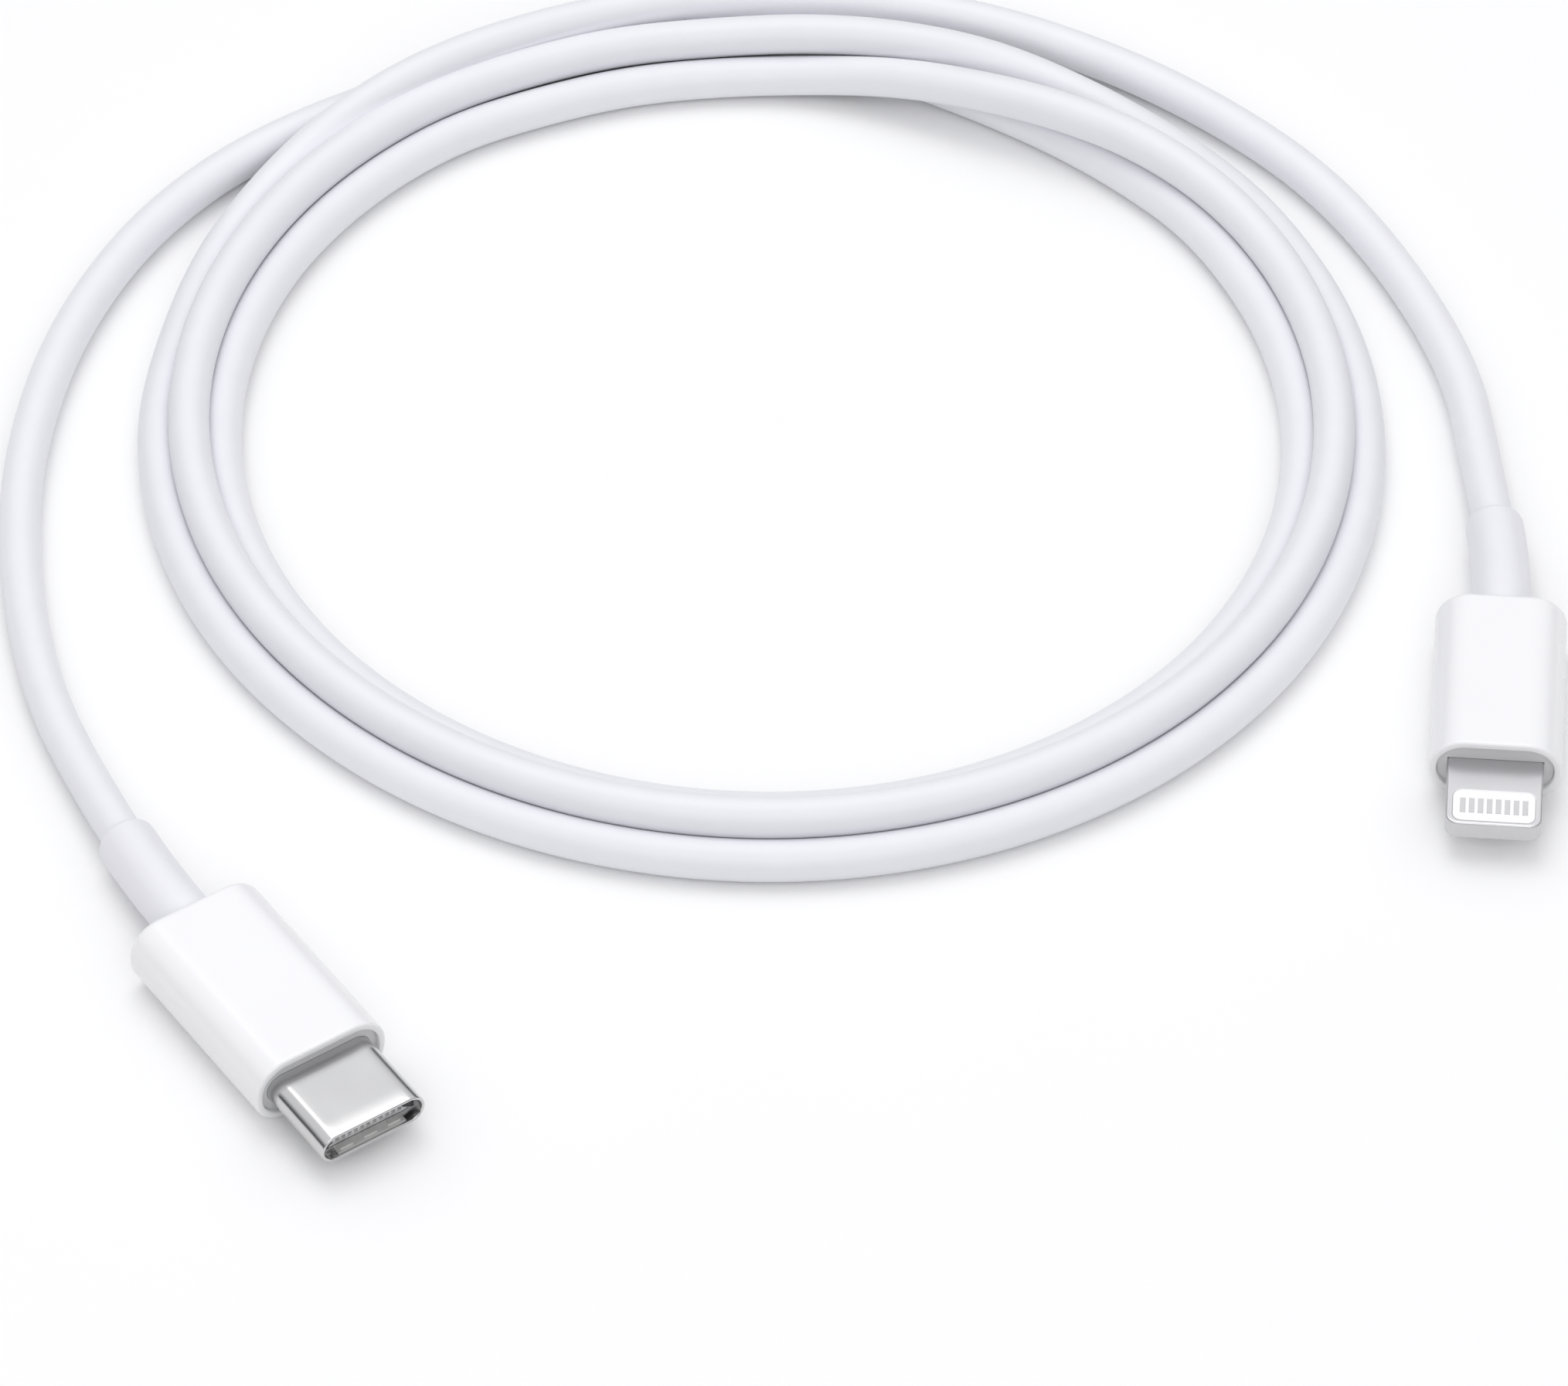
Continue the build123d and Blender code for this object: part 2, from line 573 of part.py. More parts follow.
plugs = (
    ("charger_plug", charger_parts(), CHARGER, 1, CHARGER_EXIT, CHARGER_YAW, CHARGER_H, CHARGER_TAIL),
    ("phone_plug", phone_parts(), PHONE, -1, PHONE_EXIT, PHONE_YAW, PHONE_H, PHONE_TAIL),
)
for plug, made, at, side_x, exit_xy, yaw, height, tail in plugs:
    shift, start, direction = exit_point(at, side_x, exit_xy, yaw, height)
    place = Pos(*shift) * Rot(0, 0, yaw)
    for name, shape in made.items():
        write(f"{plug}_{name}", place * shape)
    first_run = start + direction * FIRST_RUN
    route = [tuple(start), tuple(first_run)] + tail
    print(plug, "placed at", shift, "cord leaves at", start, "towards", direction)
    write("cable_" + plug.split("_")[0] + "_tail", tube(plug + " tail", route))

write("cable_coil", coil())
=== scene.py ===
import json
from math import cos, hypot, pi, radians, sin, sqrt

import bpy
from mathutils import Matrix, Vector

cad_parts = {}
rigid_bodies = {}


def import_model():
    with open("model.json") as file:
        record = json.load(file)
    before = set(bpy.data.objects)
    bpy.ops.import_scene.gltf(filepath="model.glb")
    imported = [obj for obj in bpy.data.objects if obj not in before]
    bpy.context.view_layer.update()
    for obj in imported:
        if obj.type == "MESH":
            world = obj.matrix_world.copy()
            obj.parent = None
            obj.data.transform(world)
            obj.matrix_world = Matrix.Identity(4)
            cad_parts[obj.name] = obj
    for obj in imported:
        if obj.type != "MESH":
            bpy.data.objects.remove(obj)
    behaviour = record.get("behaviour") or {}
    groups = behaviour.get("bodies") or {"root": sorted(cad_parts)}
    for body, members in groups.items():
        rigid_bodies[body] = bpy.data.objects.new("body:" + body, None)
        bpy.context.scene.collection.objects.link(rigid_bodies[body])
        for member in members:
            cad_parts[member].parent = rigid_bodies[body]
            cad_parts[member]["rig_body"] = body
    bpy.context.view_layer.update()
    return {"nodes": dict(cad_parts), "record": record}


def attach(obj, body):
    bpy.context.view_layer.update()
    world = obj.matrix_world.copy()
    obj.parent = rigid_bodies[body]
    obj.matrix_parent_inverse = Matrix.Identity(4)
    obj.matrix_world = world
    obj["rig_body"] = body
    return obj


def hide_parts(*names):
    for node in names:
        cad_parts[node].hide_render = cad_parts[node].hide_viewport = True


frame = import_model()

# Charging cable: a flat hollow plug for a charger, a solid flat tab plug for a phone, and one metre
# of cord coiled between them. The shared frame is in metres; a plug's own frame is in millimetres,
# X across, Y back from its tip, Z up.
MM = 0.001
UP = Vector((0, 0, 1))
NODES = frame["nodes"]
MOUNTS = {mount["name"]: mount for mount in frame["record"]["mounts"]}
ROOT = "cable_assembly"

# --- cord and strain reliefs, millimetres ---
CORD_D = 3.0
FIRST_RUN = 7.0              # straight cord out of each strain relief
RELIEF_D = 4.2
RELIEF_L = 10.1
RELIEF_BEND = 10.0           # degrees that each one bends over its length
RELIEF_DROOP = 25.0          # how far that bend's plane dips below level
RELIEF_SHOULDER = 0.6        # length of the rounded end, down to the cord


# --- where each plug lies ---
def plug_place(mount):
    """From a plug's own millimetres to the shared frame."""
    back = -Vector(mount["axis"])
    turn = Matrix((back.cross(UP), back, UP)).transposed().to_4x4()
    return Matrix.Translation(mount["pos_m"]) @ turn @ Matrix.Scale(MM, 4)


def own_box(node, place):
    """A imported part's lowest and highest corners in its plug's own frame."""
    to_own = place.inverted()
    points = [to_own @ vertex.co for vertex in NODES[node].data.vertices]
    low, high = (Vector(pick(p[k] for p in points) for k in range(3)) for pick in (min, max))
    return low, high


class Plug:
    """One plug's place, and the sizes of its housing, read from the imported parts."""

    def __init__(self, name, bend_side):
        self.name = name
        self.place = plug_place(MOUNTS[name + "_tip"])
        self.bend_side = bend_side
        low, high = own_box(name + "_housing", self.place)
        self.width, self.height = high.x - low.x, high.z - low.z
        self.rim, self.back = low.y, high.y
        low, high = own_box(name + "_front_collar", self.place)
        self.collar, self.collar_back = low.y, high.y

    def relief_point(self, along):
        """Middle of the strain relief and its direction there, along its length from the housing."""
        bend_r = RELIEF_L / radians(RELIEF_BEND)
        droop = radians(RELIEF_DROOP)
        sideways = Vector((self.bend_side * cos(droop), 0, -sin(droop)))
        angle = max(along, 0.0) / bend_r
        straight = min(along, 0.0)
        middle = Vector((0, self.back + straight + bend_r * sin(angle), 0))
        middle += sideways * bend_r * (1 - cos(angle))
        return middle, Vector((0, cos(angle), 0)) + sideways * sin(angle)


CHARGER = Plug("charger_plug", 1)
PHONE = Plug("phone_plug", -1)


# --- camera ---
VIEW_TARGET = Vector((-0.00456, 0.01475, 0.0))   # metres
VIEW_DISTANCE = 0.6638
VIEW_DOWN = radians(45.0)
VIEW_TURN = radians(4.67)
LENS, SENSOR = 215.6, 36.0                       # millimetres
SEES_FROM, SEES_TO = 0.05, 20.0                  # metres


def make_camera():
    data = bpy.data.cameras.new("camera")
    data.lens = LENS
    data.sensor_width = SENSOR
    data.sensor_fit = "HORIZONTAL"
    data.clip_start, data.clip_end = SEES_FROM, SEES_TO
    camera = bpy.data.objects.new("camera", data)
    bpy.context.scene.collection.objects.link(camera)
    level = Vector((sin(VIEW_TURN), -cos(VIEW_TURN), 0)) * cos(VIEW_DOWN)
    camera.location = VIEW_TARGET + (level + UP * sin(VIEW_DOWN)) * VIEW_DISTANCE
    camera.rotation_euler = (pi / 2 - VIEW_DOWN, 0, VIEW_TURN)
    bpy.context.scene.camera = camera


# --- cord: its whole line, from the charger plug to the phone plug ---
CHARGER_TAIL = [
    (-0.0567, 0.0094, 0.0015), (-0.0601, 0.0216, 0.0015), (-0.0613, 0.0342, 0.0015),
    (-0.0597, 0.0476, 0.0015), (-0.0547, 0.0601, 0.0015), (-0.0460, 0.0700, 0.0015),
]
PHONE_TAIL = [
    (0.0422, 0.0500, 0.0015), (0.0375, 0.0605, 0.0015), (0.0312, 0.0700, 0.0015),
    (0.0233, 0.0771, 0.0015), (0.0143, 0.0825, 0.0017), (0.0037, 0.0855, 0.0027),
    (-0.0083, 0.0856, 0.0037), (-0.0193, 0.0834, 0.0042), (-0.0288, 0.0790, 0.0046),
    (-0.0366, 0.0739, 0.0046), (-0.0428, 0.0682, 0.0035), (-0.0475, 0.0616, 0.0020),
    (-0.0507, 0.0532, 0.0015),
]
COIL_MIDDLE = Vector((-0.0083, 0.0402, 0))
INNER_R, OUTER_R = 39.2, 43.8                    # the two turns on the table
TOP_R = (INNER_R + OUTER_R) / 2                  # the turn that lies in the valley between them
LOW_Z = CORD_D / 2
TOP_Z = LOW_Z + sqrt(CORD_D ** 2 - (TOP_R - INNER_R) ** 2)
LANES = ((INNER_R, LOW_Z), (TOP_R, TOP_Z), (OUTER_R, LOW_Z))
COIL_OVAL = 0.35                                 # how far out of round the coil lies
COIL_OVAL_AT = -35.0
COIL_STEP = 10                                   # degrees from one point to the next
# Where the turns change places at the back of the ring: each angle's radii and heights, turn by turn.
CROSSING = {
    120: ((44.9, 1.5), (38.9, 1.5), (41.3, 3.5)),
    110: ((44.0, 1.5), (38.8, 1.5), (41.1, 3.6)),
    100: ((43.0, 1.5), (38.6, 1.5), (40.8, 3.6)),
    90: ((42.1, 1.5), (38.5, 1.8), (40.5, 4.3)),
    80: ((40.5, 1.5), (38.0, 3.1), (40.8, 4.45)),
    70: ((39.3, 1.5), (37.7, 4.1), (42.0, 3.6)),
    60: ((38.85, 1.5), (38.4, 4.5), (42.9, 2.2)),
    50: ((38.8, 1.5), (39.6, 4.5), (43.3, 1.55)),
    40: ((39.1, 1.5), (40.7, 4.0), (43.6, 1.5)),
}
TURN_ENDS = (-230, -230, -180)                   # the last turn hands over to the phone tail


def coil_route():
    """Three turns, clockwise from the back of the ring."""
    places = []
    for turn, end in enumerate(TURN_ENDS):
        places += [(angle, *CROSSING[angle][turn]) for angle in CROSSING]
        radius, height = LANES[turn]
        for angle in range(min(CROSSING) - COIL_STEP, end - 1, -COIL_STEP):
            wave = COIL_OVAL * cos(2 * radians(angle - COIL_OVAL_AT))
            places.append((angle, radius + wave, height))
    turned = [(radians(angle), radius, height) for angle, radius, height in places]
    return [COIL_MIDDLE + Vector((r * cos(a), r * sin(a), z)) * MM for a, r, z in turned]


def tail_start(plug):
    """The first two points of a tail: the strain relief's end, and straight on from it."""
    end, direction = plug.relief_point(RELIEF_L)
    return [plug.place @ end, plug.place @ (end + direction * FIRST_RUN)]


def make_cord():
    route = tail_start(CHARGER) + CHARGER_TAIL + coil_route()
    route += reversed(tail_start(PHONE) + PHONE_TAIL)
    curve = bpy.data.curves.new("cord", "CURVE")
    curve.dimensions = "3D"
    spline = curve.splines.new("NURBS")
    spline.points.add(len(route) - 1)
    for point, place in zip(spline.points, route):
        point.co = (*place, 1.0)
    spline.order_u = 3
    spline.use_endpoint_u = True
    spline.resolution_u = 10
    curve.bevel_depth = CORD_D / 2 * MM
    curve.bevel_resolution = 7
    cord = bpy.data.objects.new("cord", curve)
    bpy.context.scene.collection.objects.link(cord)
    return cord, route[0]


make_camera()
cord, cord_exit = make_cord()


# --- material tools ---
def linear(code):
    """A colour's sRGB hex code as linear light."""
    channels = [int(code[k:k + 2], 16) / 255 for k in (0, 2, 4)]
    return [c / 12.92 if c <= 0.04045 else ((c + 0.055) / 1.055) ** 2.4 for c in channels] + [1.0]


def add_node(tree, kind, values=None, links=None, **settings):
    """Adds a node: its own settings, its inputs' values, and its inputs' sources."""
    node = tree.nodes.new("ShaderNode" + kind)
    for name, value in settings.items():
        setattr(node, name, value)
    for name, value in (values or {}).items():
        node.inputs[name].default_value = value
    for name, source in (links or {}).items():
        tree.links.new(source, node.inputs[name])
    return node


def new_tree(name):
    material = bpy.data.materials.new(name)
    material.use_nodes = True
    material.node_tree.nodes.clear()
    return material, material.node_tree


def surface(name, colours, rough, grain, depth, **sockets):
    """A finish with a fine grain: two close colours, uneven polish and a shallow relief.

    grain and depth are the grain's size and height in millimetres.
    """
    material, tree = new_tree(name)
    where = add_node(tree, "TexCoord").outputs["Object"]
    fine = add_node(tree, "TexNoise", {"Scale": 1 / (grain * MM), "Detail": 3.0}, {"Vector": where})
    broad = add_node(tree, "TexNoise", {"Scale": 0.1 / (grain * MM), "Detail": 2.0}, {"Vector": where})
    tone = add_node(tree, "ValToRGB", links={"Fac": broad.outputs["Fac"]})
    for stop, code in zip(tone.color_ramp.elements, colours):
        stop.color = linear(code)
    polish = add_node(tree, "MapRange", {"To Min": rough[0], "To Max": rough[1]},
                      {"Value": broad.outputs["Fac"]})
    relief = add_node(tree, "Bump", {"Distance": depth * MM}, {"Height": fine.outputs["Fac"]})
    shader = add_node(tree, "BsdfPrincipled", sockets, {
        "Base Color": tone.outputs["Color"], "Roughness": polish.outputs["Result"],
        "Normal": relief.outputs["Normal"],
    })
    add_node(tree, "OutputMaterial", links={"Surface": shader.outputs["BSDF"]})
    return material


# Polycarbonate, injection moulded in a polished tool: hard gloss with the faintest orange peel.
housing_white = surface("polycarbonate_polished", ("f1f1f3", "f4f4f6"), (0.24, 0.30), 0.9, 0.0006,
                        IOR=1.585)
# ABS, moulded with a satin face, dull in its recess: a white plastic, painted grey as painted shade for
# the shadow that falls in the recess.
collar_painted_shade = surface("abs_satin", ("d2d2d3", "d8d8d9"), (0.45, 0.55), 0.3, 0.002, IOR=1.54)
# TPE, extruded: a soft cool white with a silky skin. The grain is drawn coarser than the real
# skin's few hundredths, so that it shows.
cord_white = surface("tpe_extruded", ("e8e8ed", "ecedf1"), (0.40, 0.48), 0.25, 0.0012,
                     **{"IOR": 1.50, "Sheen Weight": 0.05, "Sheen Roughness": 0.5})
# TPE, moulded over the cord: the same white, a little smoother.
relief_white = surface("tpe_overmoulded", ("e7e7ec", "ebebf0"), (0.36, 0.44), 0.3, 0.0010,
                       IOR=1.50)
# Stainless steel, drawn and nickel plated: bright satin that still mirrors the room's dark edge.
shell_steel = surface("stainless_nickel_plated", ("cccccc", "d2d2d2"), (0.18, 0.24), 0.5, 0.00015,
                      Metallic=1.0)
# Stainless steel, milled and bead blasted: even grey satin.
tab_steel = surface("stainless_bead_blasted", ("cdcdcf", "d3d3d5"), (0.36, 0.42), 0.4, 0.0003,
                    Metallic=1.0)
# Liquid-crystal polymer, moulded: flat matt white round the phone contacts.
field_white = surface("lcp_white", ("f4f4f4", "f8f8f8"), (0.35, 0.42), 0.3, 0.001, IOR=1.60)
# Liquid-crystal polymer, moulded, in the charger plug's mouth: light grey.
carrier_grey = surface("lcp_grey", ("e2e2e3", "e8e8e9"), (0.45, 0.55), 0.3, 0.002, IOR=1.60)
# Rhodium over nickel: hard, pale grey contacts.
pad_grey = surface("rhodium_plate", ("c8c8ca", "cececf"), (0.36, 0.44), 0.2, 0.001, Metallic=1.0)
# Spring steel, stamped: dull and dark.
spring_dark = surface("spring_steel_stamped", ("454547", "505052"), (0.35, 0.45), 0.3, 0.0006,
                      Metallic=1.0)
# Nickel silver, stamped: the bright ground springs in the mouth.
spring_bright = surface("nickel_silver_stamped", ("dcdcda", "e4e4e2"), (0.40, 0.50), 0.3, 0.0006,
                        Metallic=0.6)
# Palladium nickel, plated: the charger plug's pale contacts.
contact_pale = surface("palladium_nickel_plate", ("d0d0ce", "d8d8d6"), (0.35, 0.42), 0.2, 0.001,
                       Metallic=1.0)
# Epoxy, transfer moulded: matt black chip.
chip_black = surface("epoxy_moulded", ("1a1a1b", "222223"), (0.55, 0.65), 0.12, 0.003, IOR=1.55)
# Ceramic, fired: the tan blocks of small capacitors.
ceramic_tan = surface("ceramic_fired", ("a98a66", "b7986f"), (0.40, 0.55), 0.15, 0.002, IOR=1.65)
# Tinplate, folded: soft bright can with faint spangle.
can_tin = surface("tinplate_folded", ("b8b9bb", "c6c7c9"), (0.28, 0.42), 0.5, 0.002, Metallic=1.0)
# Polyethylene, low-pressure moulded: milky block that holds the wires.
mould_milky = surface("polyethylene_moulded", ("dad8cf", "e4e2da"), (0.45, 0.55), 0.3, 0.003, IOR=1.51)
# Brass, drawn: warm crimp ring.
crimp_brass = surface("brass_drawn", ("b79a5c", "c4a868"), (0.25, 0.35), 0.25, 0.002, Metallic=1.0)
# PVC, extruded: the four conductors' insulation.
WIRE_COLOURS = {
    "power": ("b21f1b", "bd2822"), "ground": ("1b1b1c", "242425"),
    "data_plus": ("1f7a3c", "288746"), "data_minus": ("dcdcdc", "e6e6e6"),
}
wire_pvc = {name: surface("pvc_" + name, colours, (0.35, 0.42), 0.2, 0.002, IOR=1.53)
            for name, colours in WIRE_COLOURS.items()}


def solder_mask():
    """FR4 board under green solder mask: paler tracks show through it."""
    track_pitch = 0.4 * MM
    material, tree = new_tree("fr4_solder_mask")
    where = add_node(tree, "TexCoord").outputs["Object"]
    tracks = add_node(tree, "TexWave", {"Scale": pi / 10 / track_pitch, "Distortion": 1.5},
                      {"Vector": where})
    tone = add_node(tree, "ValToRGB", links={"Fac": tracks.outputs["Fac"]})
    tone.color_ramp.elements[0].color = linear("0f4a2a")
    tone.color_ramp.elements[1].color = linear("1d6b3d")
    relief = add_node(tree, "Bump", {"Distance": 0.02 * MM}, {"Height": tracks.outputs["Fac"]})
    shader = add_node(tree, "BsdfPrincipled", {"Roughness": 0.3, "IOR": 1.55}, {
        "Base Color": tone.outputs["Color"], "Normal": relief.outputs["Normal"]})
    add_node(tree, "OutputMaterial", links={"Surface": shader.outputs["BSDF"]})
    return material


def tinned_braid():
    """Tinned copper braid, turned back: fine wires crossing every 0.25 mm."""
    material, tree = new_tree("tinned_copper_braid")
    where = add_node(tree, "TexCoord").outputs["Object"]
    weave = add_node(tree, "TexVoronoi", {"Scale": 1 / (0.25 * MM)}, {"Vector": where})
    tone = add_node(tree, "ValToRGB", links={"Fac": weave.outputs["Distance"]})
    tone.color_ramp.elements[0].color = linear("c9c9cb")
    tone.color_ramp.elements[1].color = linear("77777a")
    relief = add_node(tree, "Bump", {"Distance": 0.05 * MM}, {"Height": weave.outputs["Distance"]})
    shader = add_node(tree, "BsdfPrincipled", {"Roughness": 0.35, "Metallic": 1.0}, {
        "Base Color": tone.outputs["Color"], "Normal": relief.outputs["Normal"]})
    add_node(tree, "OutputMaterial", links={"Surface": shader.outputs["BSDF"]})
    return material


board_green = solder_mask()
braid_tinned = tinned_braid()

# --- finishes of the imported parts, by the end of their names ---
FINISHES = {
    "housing": housing_white, "front_collar": collar_painted_shade, "strain_relief": relief_white,
    "jacket_end": cord_white, "shell": shell_steel, "plug_contact_carrier": carrier_grey,
    "upper_contact_carrier": field_white, "lower_contact_carrier": field_white,
    "contact_arms": contact_pale, "contact_tails": contact_pale,
    "contacts": pad_grey, "latch": spring_dark, "middle_plate": spring_dark,
    "ground_spring": spring_bright, "circuit_board": board_green, "controller_chip": chip_black,
    "small_components": ceramic_tan, "tab_frame": tab_steel, "shield_can": can_tin,
    "inner_mould": mould_milky, "braid_end": braid_tinned, "crimp_ring": crimp_brass,
    "tail": cord_white, "coil": cord_white,
}
FINISHES.update({name + "_wire": material for name, material in wire_pvc.items()})
for name, node in NODES.items():
    finish = next(FINISHES[ending] for ending in FINISHES if name.endswith(ending))
    node.data.materials.clear()
    node.data.materials.append(finish)


# --- mesh tools ---
def arc(middle, radii, start, end, steps=6):
    """Points of a quarter round in a profile, with angles in degrees."""
    angles = [radians(start + (end - start) * k / steps) for k in range(steps + 1)]
    return [(middle[0] + radii[0] * cos(a), middle[1] + radii[1] * sin(a)) for a in angles]


def outline(width, height, corner, across, down, arc_steps=14):
    """A rounded rectangle, with so many steps along its straight sides; down is 0 for round sides."""
    half_w, half_h = width / 2 - corner, height / 2 - corner
    points = []
    for k, (side, above) in enumerate(((1, 1), (-1, 1), (-1, -1), (1, -1))):
        bend = arc((side * half_w, above * half_h), (corner, corner), 90 * k, 90 * k + 90, arc_steps)
        steps = across if k % 2 == 0 else down
        if not steps:
            points += bend[:-1]
            continue
        near = bend[-1]
        run = (-2 * side * half_w, 0) if k % 2 == 0 else (0, -2 * above * half_h)
        points += bend
        points += [tuple(near[i] + run[i] * step / steps for i in (0, 1)) for step in range(1, steps)]
    return points


def standing(points, y):
    """An outline stood across the plug at y."""
    return [Vector((x, y, z)) for x, z in points]


def as_circle(points, radius):
    return [(radius * x / hypot(x, z), radius * z / hypot(x, z)) for x, z in points]


def loft(name, rings, place, material):
    """A closed skin through rings of points, the last one joined to the first."""
    count = len(rings[0])
    vertices = [place @ point for ring in rings for point in ring]
    faces = []
    for row in range(len(rings)):
        here, there = row * count, (row + 1) % len(rings) * count
        for k in range(count):
            after = (k + 1) % count
            faces.append((here + k, here + after, there + after, there + k))
    mesh = bpy.data.meshes.new(name)
    mesh.from_pydata(vertices, [], faces)
    mesh.update()
    mesh.shade_smooth()
    mesh.materials.append(material)
    piece = bpy.data.objects.new(name, mesh)
    bpy.context.scene.collection.objects.link(piece)
    return piece


def put_on(piece, node):
    """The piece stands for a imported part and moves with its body."""
    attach(piece, NODES[node]["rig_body"])
    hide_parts(node)


# --- housings ---
HOUSING_CORNER = 2.5
HOUSING_WALL = 0.55
BACK_WALL = 1.0
RIM_ROUND = 0.22
RIM_INNER_ROUND = 0.12
BACK_ROUND = 0.50
HOLE_ROUND = 0.12
SUPPORT = 0.15               # from a rounded edge to the loop that keeps the flat beside it flat
HOLE_GAP = 0.03              # round the strain relief


def make_housing(plug):
    """A one-piece moulding: rounded rim, recess for the collar, and a back wall with the relief's hole."""
    def ring(inset, y):
        corner = HOUSING_CORNER - inset
        flat = outline(plug.width - 2 * inset, plug.height - 2 * inset, corner, 10, 4)
        return standing(flat, y)

    inner_y = plug.back - BACK_WALL
    profile = [(HOUSING_WALL, inner_y), (HOUSING_WALL, plug.collar_back)]
    profile += arc((HOUSING_WALL - RIM_INNER_ROUND, plug.rim + RIM_INNER_ROUND),
                   (RIM_INNER_ROUND, RIM_INNER_ROUND), 0, -90, 4)
    profile += arc((RIM_ROUND, plug.rim + RIM_ROUND), (RIM_ROUND, RIM_ROUND), -90, -180)
    front, rear = plug.rim + RIM_ROUND, plug.back - BACK_ROUND
    profile += [(0.0, front + SUPPORT)]
    profile += [(0.0, front + (rear - front) * step / 8) for step in range(1, 8)]
    profile += [(0.0, rear - SUPPORT)]
    profile += arc((BACK_ROUND, rear), (BACK_ROUND, BACK_ROUND), 180, 90, 8)
    rings = [ring(inset, y) for inset, y in profile]
    hole_r = RELIEF_D / 2 + HOLE_GAP
    around = outline(plug.width, plug.height, HOUSING_CORNER, 10, 4)
    hole = arc((hole_r + HOLE_ROUND, plug.back - HOLE_ROUND), (HOLE_ROUND, HOLE_ROUND), 90, 180, 4)
    rings += [standing(as_circle(around, radius), y) for radius, y in hole + [(hole_r, inner_y)]]
    piece = loft(plug.name + "_housing_moulding", rings, plug.place, housing_white)
    put_on(piece, plug.name + "_housing")


# --- strain reliefs ---
RELIEF_ROOT = 0.9            # how far the sleeve starts inside the housing's back wall
RELIEF_LIP = 0.04            # flat left round the cord
CORD_FIT = 0.01
AROUND = 48                  # points round a sleeve


def make_relief(plug):
    """A soft sleeve, bent with the cord, with a rounded shoulder where the cord leaves it."""
    outer, bore = RELIEF_D / 2, CORD_D / 2 + CORD_FIT
    profile = [(outer, -RELIEF_ROOT)]
    straight_end = RELIEF_L - RELIEF_SHOULDER
    profile += [(outer, straight_end * step / 12) for step in range(13)]
    shoulder = (outer - bore - RELIEF_LIP, RELIEF_SHOULDER)
    profile += arc((bore + RELIEF_LIP, straight_end), shoulder, 0, 90, 10)[1:]
    profile += [(bore, RELIEF_L), (bore, RELIEF_L - RELIEF_SHOULDER), (bore, -RELIEF_ROOT)]
    rings = []
    for radius, along in profile:
        middle, direction = plug.relief_point(along)
        side = direction.cross(UP).normalized()
        rise = side.cross(direction)
        angles = [2 * pi * k / AROUND for k in range(AROUND)]
        rings.append([middle + (side * cos(a) + rise * sin(a)) * radius for a in angles])
    piece = loft(plug.name + "_relief_sleeve", rings, plug.place, relief_white)
    put_on(piece, plug.name + "_strain_relief")


# --- charger plug's shell ---
SHELL_WALL = 0.25
MOUTH_ROUND = 0.11
SHELL_LOOPS = (1.5, 3.5)     # from the mouth to the loops along the tube


def make_shell():
    """A seamless drawn tube with a rounded mouth."""
    low, high = own_box("charger_plug_shell", CHARGER.place)
    width, height = high.x - low.x, high.z - low.z

    def ring(inset, y):
        flat = outline(width - 2 * inset, height - 2 * inset, height / 2 - inset, 12, 0)
        return standing(flat, y)

    profile = [(0.0, y) for y in (high.y, CHARGER.collar, CHARGER.rim - 1.0, *reversed(SHELL_LOOPS))]
    profile += arc((MOUTH_ROUND, MOUTH_ROUND), (MOUTH_ROUND, MOUTH_ROUND), 180, 270)
    profile += arc((SHELL_WALL - MOUTH_ROUND, MOUTH_ROUND), (MOUTH_ROUND, MOUTH_ROUND), 270, 360)
    profile += [(SHELL_WALL, y) for y in (*SHELL_LOOPS, high.y)]
    rings = [ring(*place) for place in profile]
    piece = loft("charger_plug_drawn_shell", rings, CHARGER.place, shell_steel)
    put_on(piece, "charger_plug_shell")


# --- phone plug's tab ---
TAB_CORNER = 0.90
TAB_EDGE = 0.16
FIELD_CORNER = 0.62
FIELD_LIP = 0.05
TAB_SUPPORT = 0.06           # as SUPPORT
NOTCH_L, NOTCH_HALF_H, NOTCH_DEPTH = 1.1, 0.35, 0.15
NOTCH_EDGE = 0.08            # height over which a notch ends


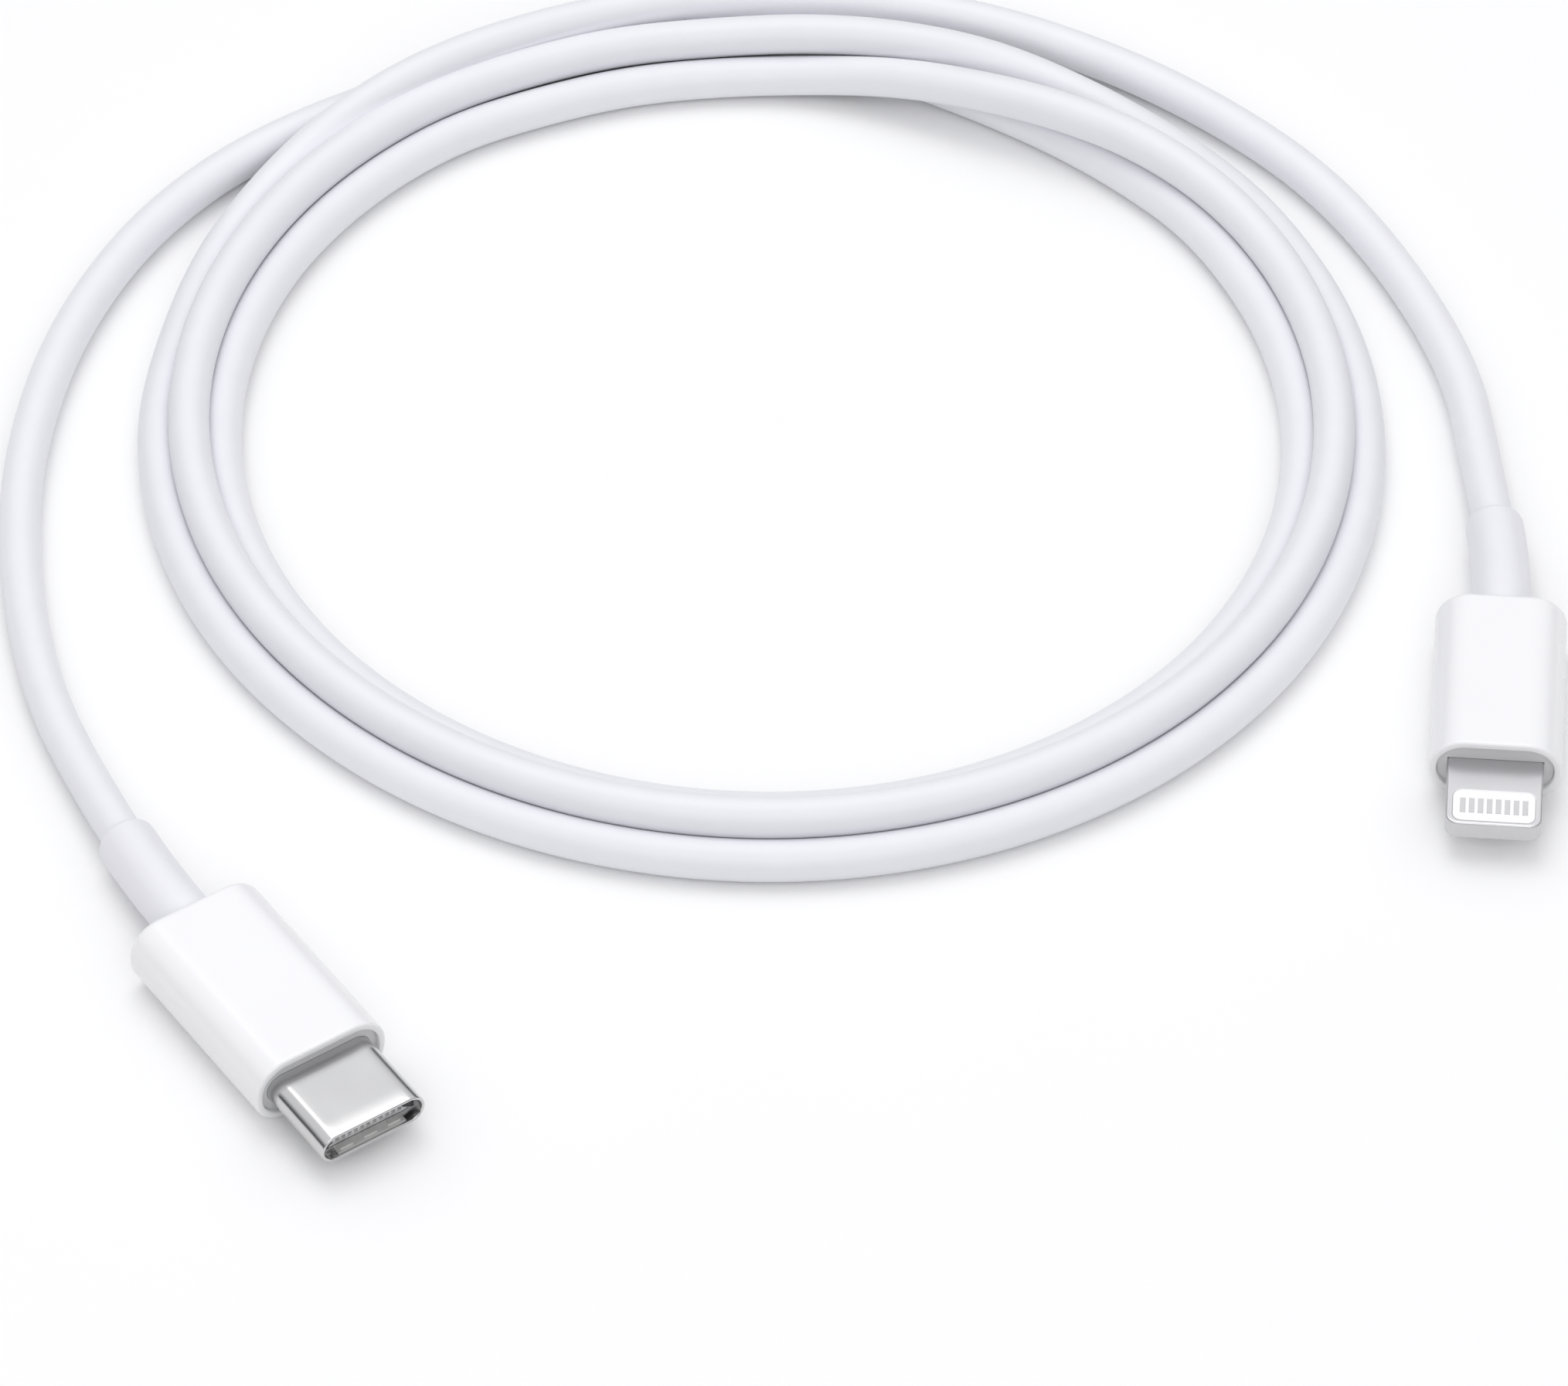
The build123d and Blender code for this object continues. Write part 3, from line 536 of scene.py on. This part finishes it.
def make_tab():
    """A milled plate: rounded edges, a window for the contacts, and a latch notch in each side."""
    low, high = own_box("phone_plug_tab_frame", PHONE.place)
    width, length, thick = high.x - low.x, high.y - low.y, (high.z - low.z) / 2
    field_low, field_high = own_box("phone_plug_upper_contact_carrier", PHONE.place)
    field_w, field_l = field_high.x - field_low.x, field_high.y - field_low.y
    field_middle = (field_low.y + field_high.y) / 2

    def plate(inset, z):
        flat = outline(width - 2 * inset, length - 2 * inset, TAB_CORNER - inset, 12, 48, 10)
        ring = [Vector((x, length / 2 + y, z)) for x, y in flat]
        for point in ring:
            in_notch = 0 < point.y - field_middle < NOTCH_L and abs(point.x) > width / 2 - TAB_EDGE
            if in_notch and abs(z) <= NOTCH_HALF_H:
                point.x -= NOTCH_DEPTH * (1 if point.x > 0 else -1)
        return ring

    def window(grow, z):
        flat = outline(field_w + 2 * grow, field_l + 2 * grow, FIELD_CORNER + grow, 12, 48, 10)
        return [Vector((x, field_middle + y, z)) for x, y in flat]

    edge = arc((TAB_EDGE, thick - TAB_EDGE), (TAB_EDGE, TAB_EDGE), 180, 90)
    lip = arc((FIELD_LIP, thick - FIELD_LIP), (FIELD_LIP, FIELD_LIP), 90, 180, 3)
    upper = [plate(0.0, z) for z in (0.0, NOTCH_HALF_H, NOTCH_HALF_H + NOTCH_EDGE)]
    upper += [plate(inset, z) for inset, z in edge + [(TAB_EDGE + TAB_SUPPORT, thick)]]
    upper += [window(grow, z) for grow, z in [(FIELD_LIP + TAB_SUPPORT, thick)] + lip]
    lower = [[Vector((p.x, p.y, -p.z)) for p in ring] for ring in reversed(upper[1:])]
    piece = loft("phone_plug_milled_tab", upper + lower, PHONE.place, tab_steel)
    put_on(piece, "phone_plug_tab_frame")


for plug in (CHARGER, PHONE):
    make_housing(plug)
    make_relief(plug)
make_shell()
make_tab()

cord.data.materials.append(cord_white)
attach(cord, ROOT)
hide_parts("cable_charger_tail", "cable_coil", "cable_phone_tail")


# --- studio, metres and watts ---
FLOOR_HALF = 3.0

# Paper, matt and unprinted: a plain floor just off white.
floor_paper = surface("paper_matt", ("f6f6f6", "f7f7f7"), (0.85, 0.95), 2.0, 0.0, IOR=1.4)


def make_floor():
    mesh = bpy.data.meshes.new("floor")
    corners = [(x * FLOOR_HALF, y * FLOOR_HALF, 0.0) for x, y in ((-1, -1), (1, -1), (1, 1), (-1, 1))]
    mesh.from_pydata(corners, [], [(0, 1, 2, 3)])
    mesh.materials.append(floor_paper)
    floor = bpy.data.objects.new("floor", mesh)
    bpy.context.scene.collection.objects.link(floor)


def make_light(name, place, size, power):
    """A soft square light aimed at the cable."""
    data = bpy.data.lights.new(name, "AREA")
    data.size = size
    data.energy = power
    light = bpy.data.objects.new(name, data)
    light.location = place
    light.rotation_euler = (VIEW_TARGET - Vector(place)).to_track_quat("-Z", "Y").to_euler()
    bpy.context.scene.collection.objects.link(light)


def make_sky():
    """Even light from above that falls off to a dim edge, which the steel mirrors as dark bands."""
    world = bpy.data.worlds.new("studio")
    world.use_nodes = True
    tree = world.node_tree
    tree.nodes.clear()
    where = add_node(tree, "TexCoord").outputs["Generated"]
    height = add_node(tree, "SeparateXYZ", links={"Vector": where}).outputs["Z"]
    tone = add_node(tree, "ValToRGB", links={"Fac": height})
    low, high = tone.color_ramp.elements
    low.position, low.color = 0.17, linear("323234")
    high.position, high.color = 0.50, linear("f2f2f4")
    sky = add_node(tree, "Background", {"Strength": 1.0}, {"Color": tone.outputs["Color"]})
    add_node(tree, "OutputWorld", links={"Surface": sky.outputs["Background"]})
    bpy.context.scene.world = world


make_floor()
make_light("softbox", (-0.12, 0.32, 1.05), 0.7, 2.75)
make_light("fill", (0.10, -0.80, 0.75), 0.8, 1.95)
make_sky()
bpy.context.scene.view_settings.view_transform = "Standard"
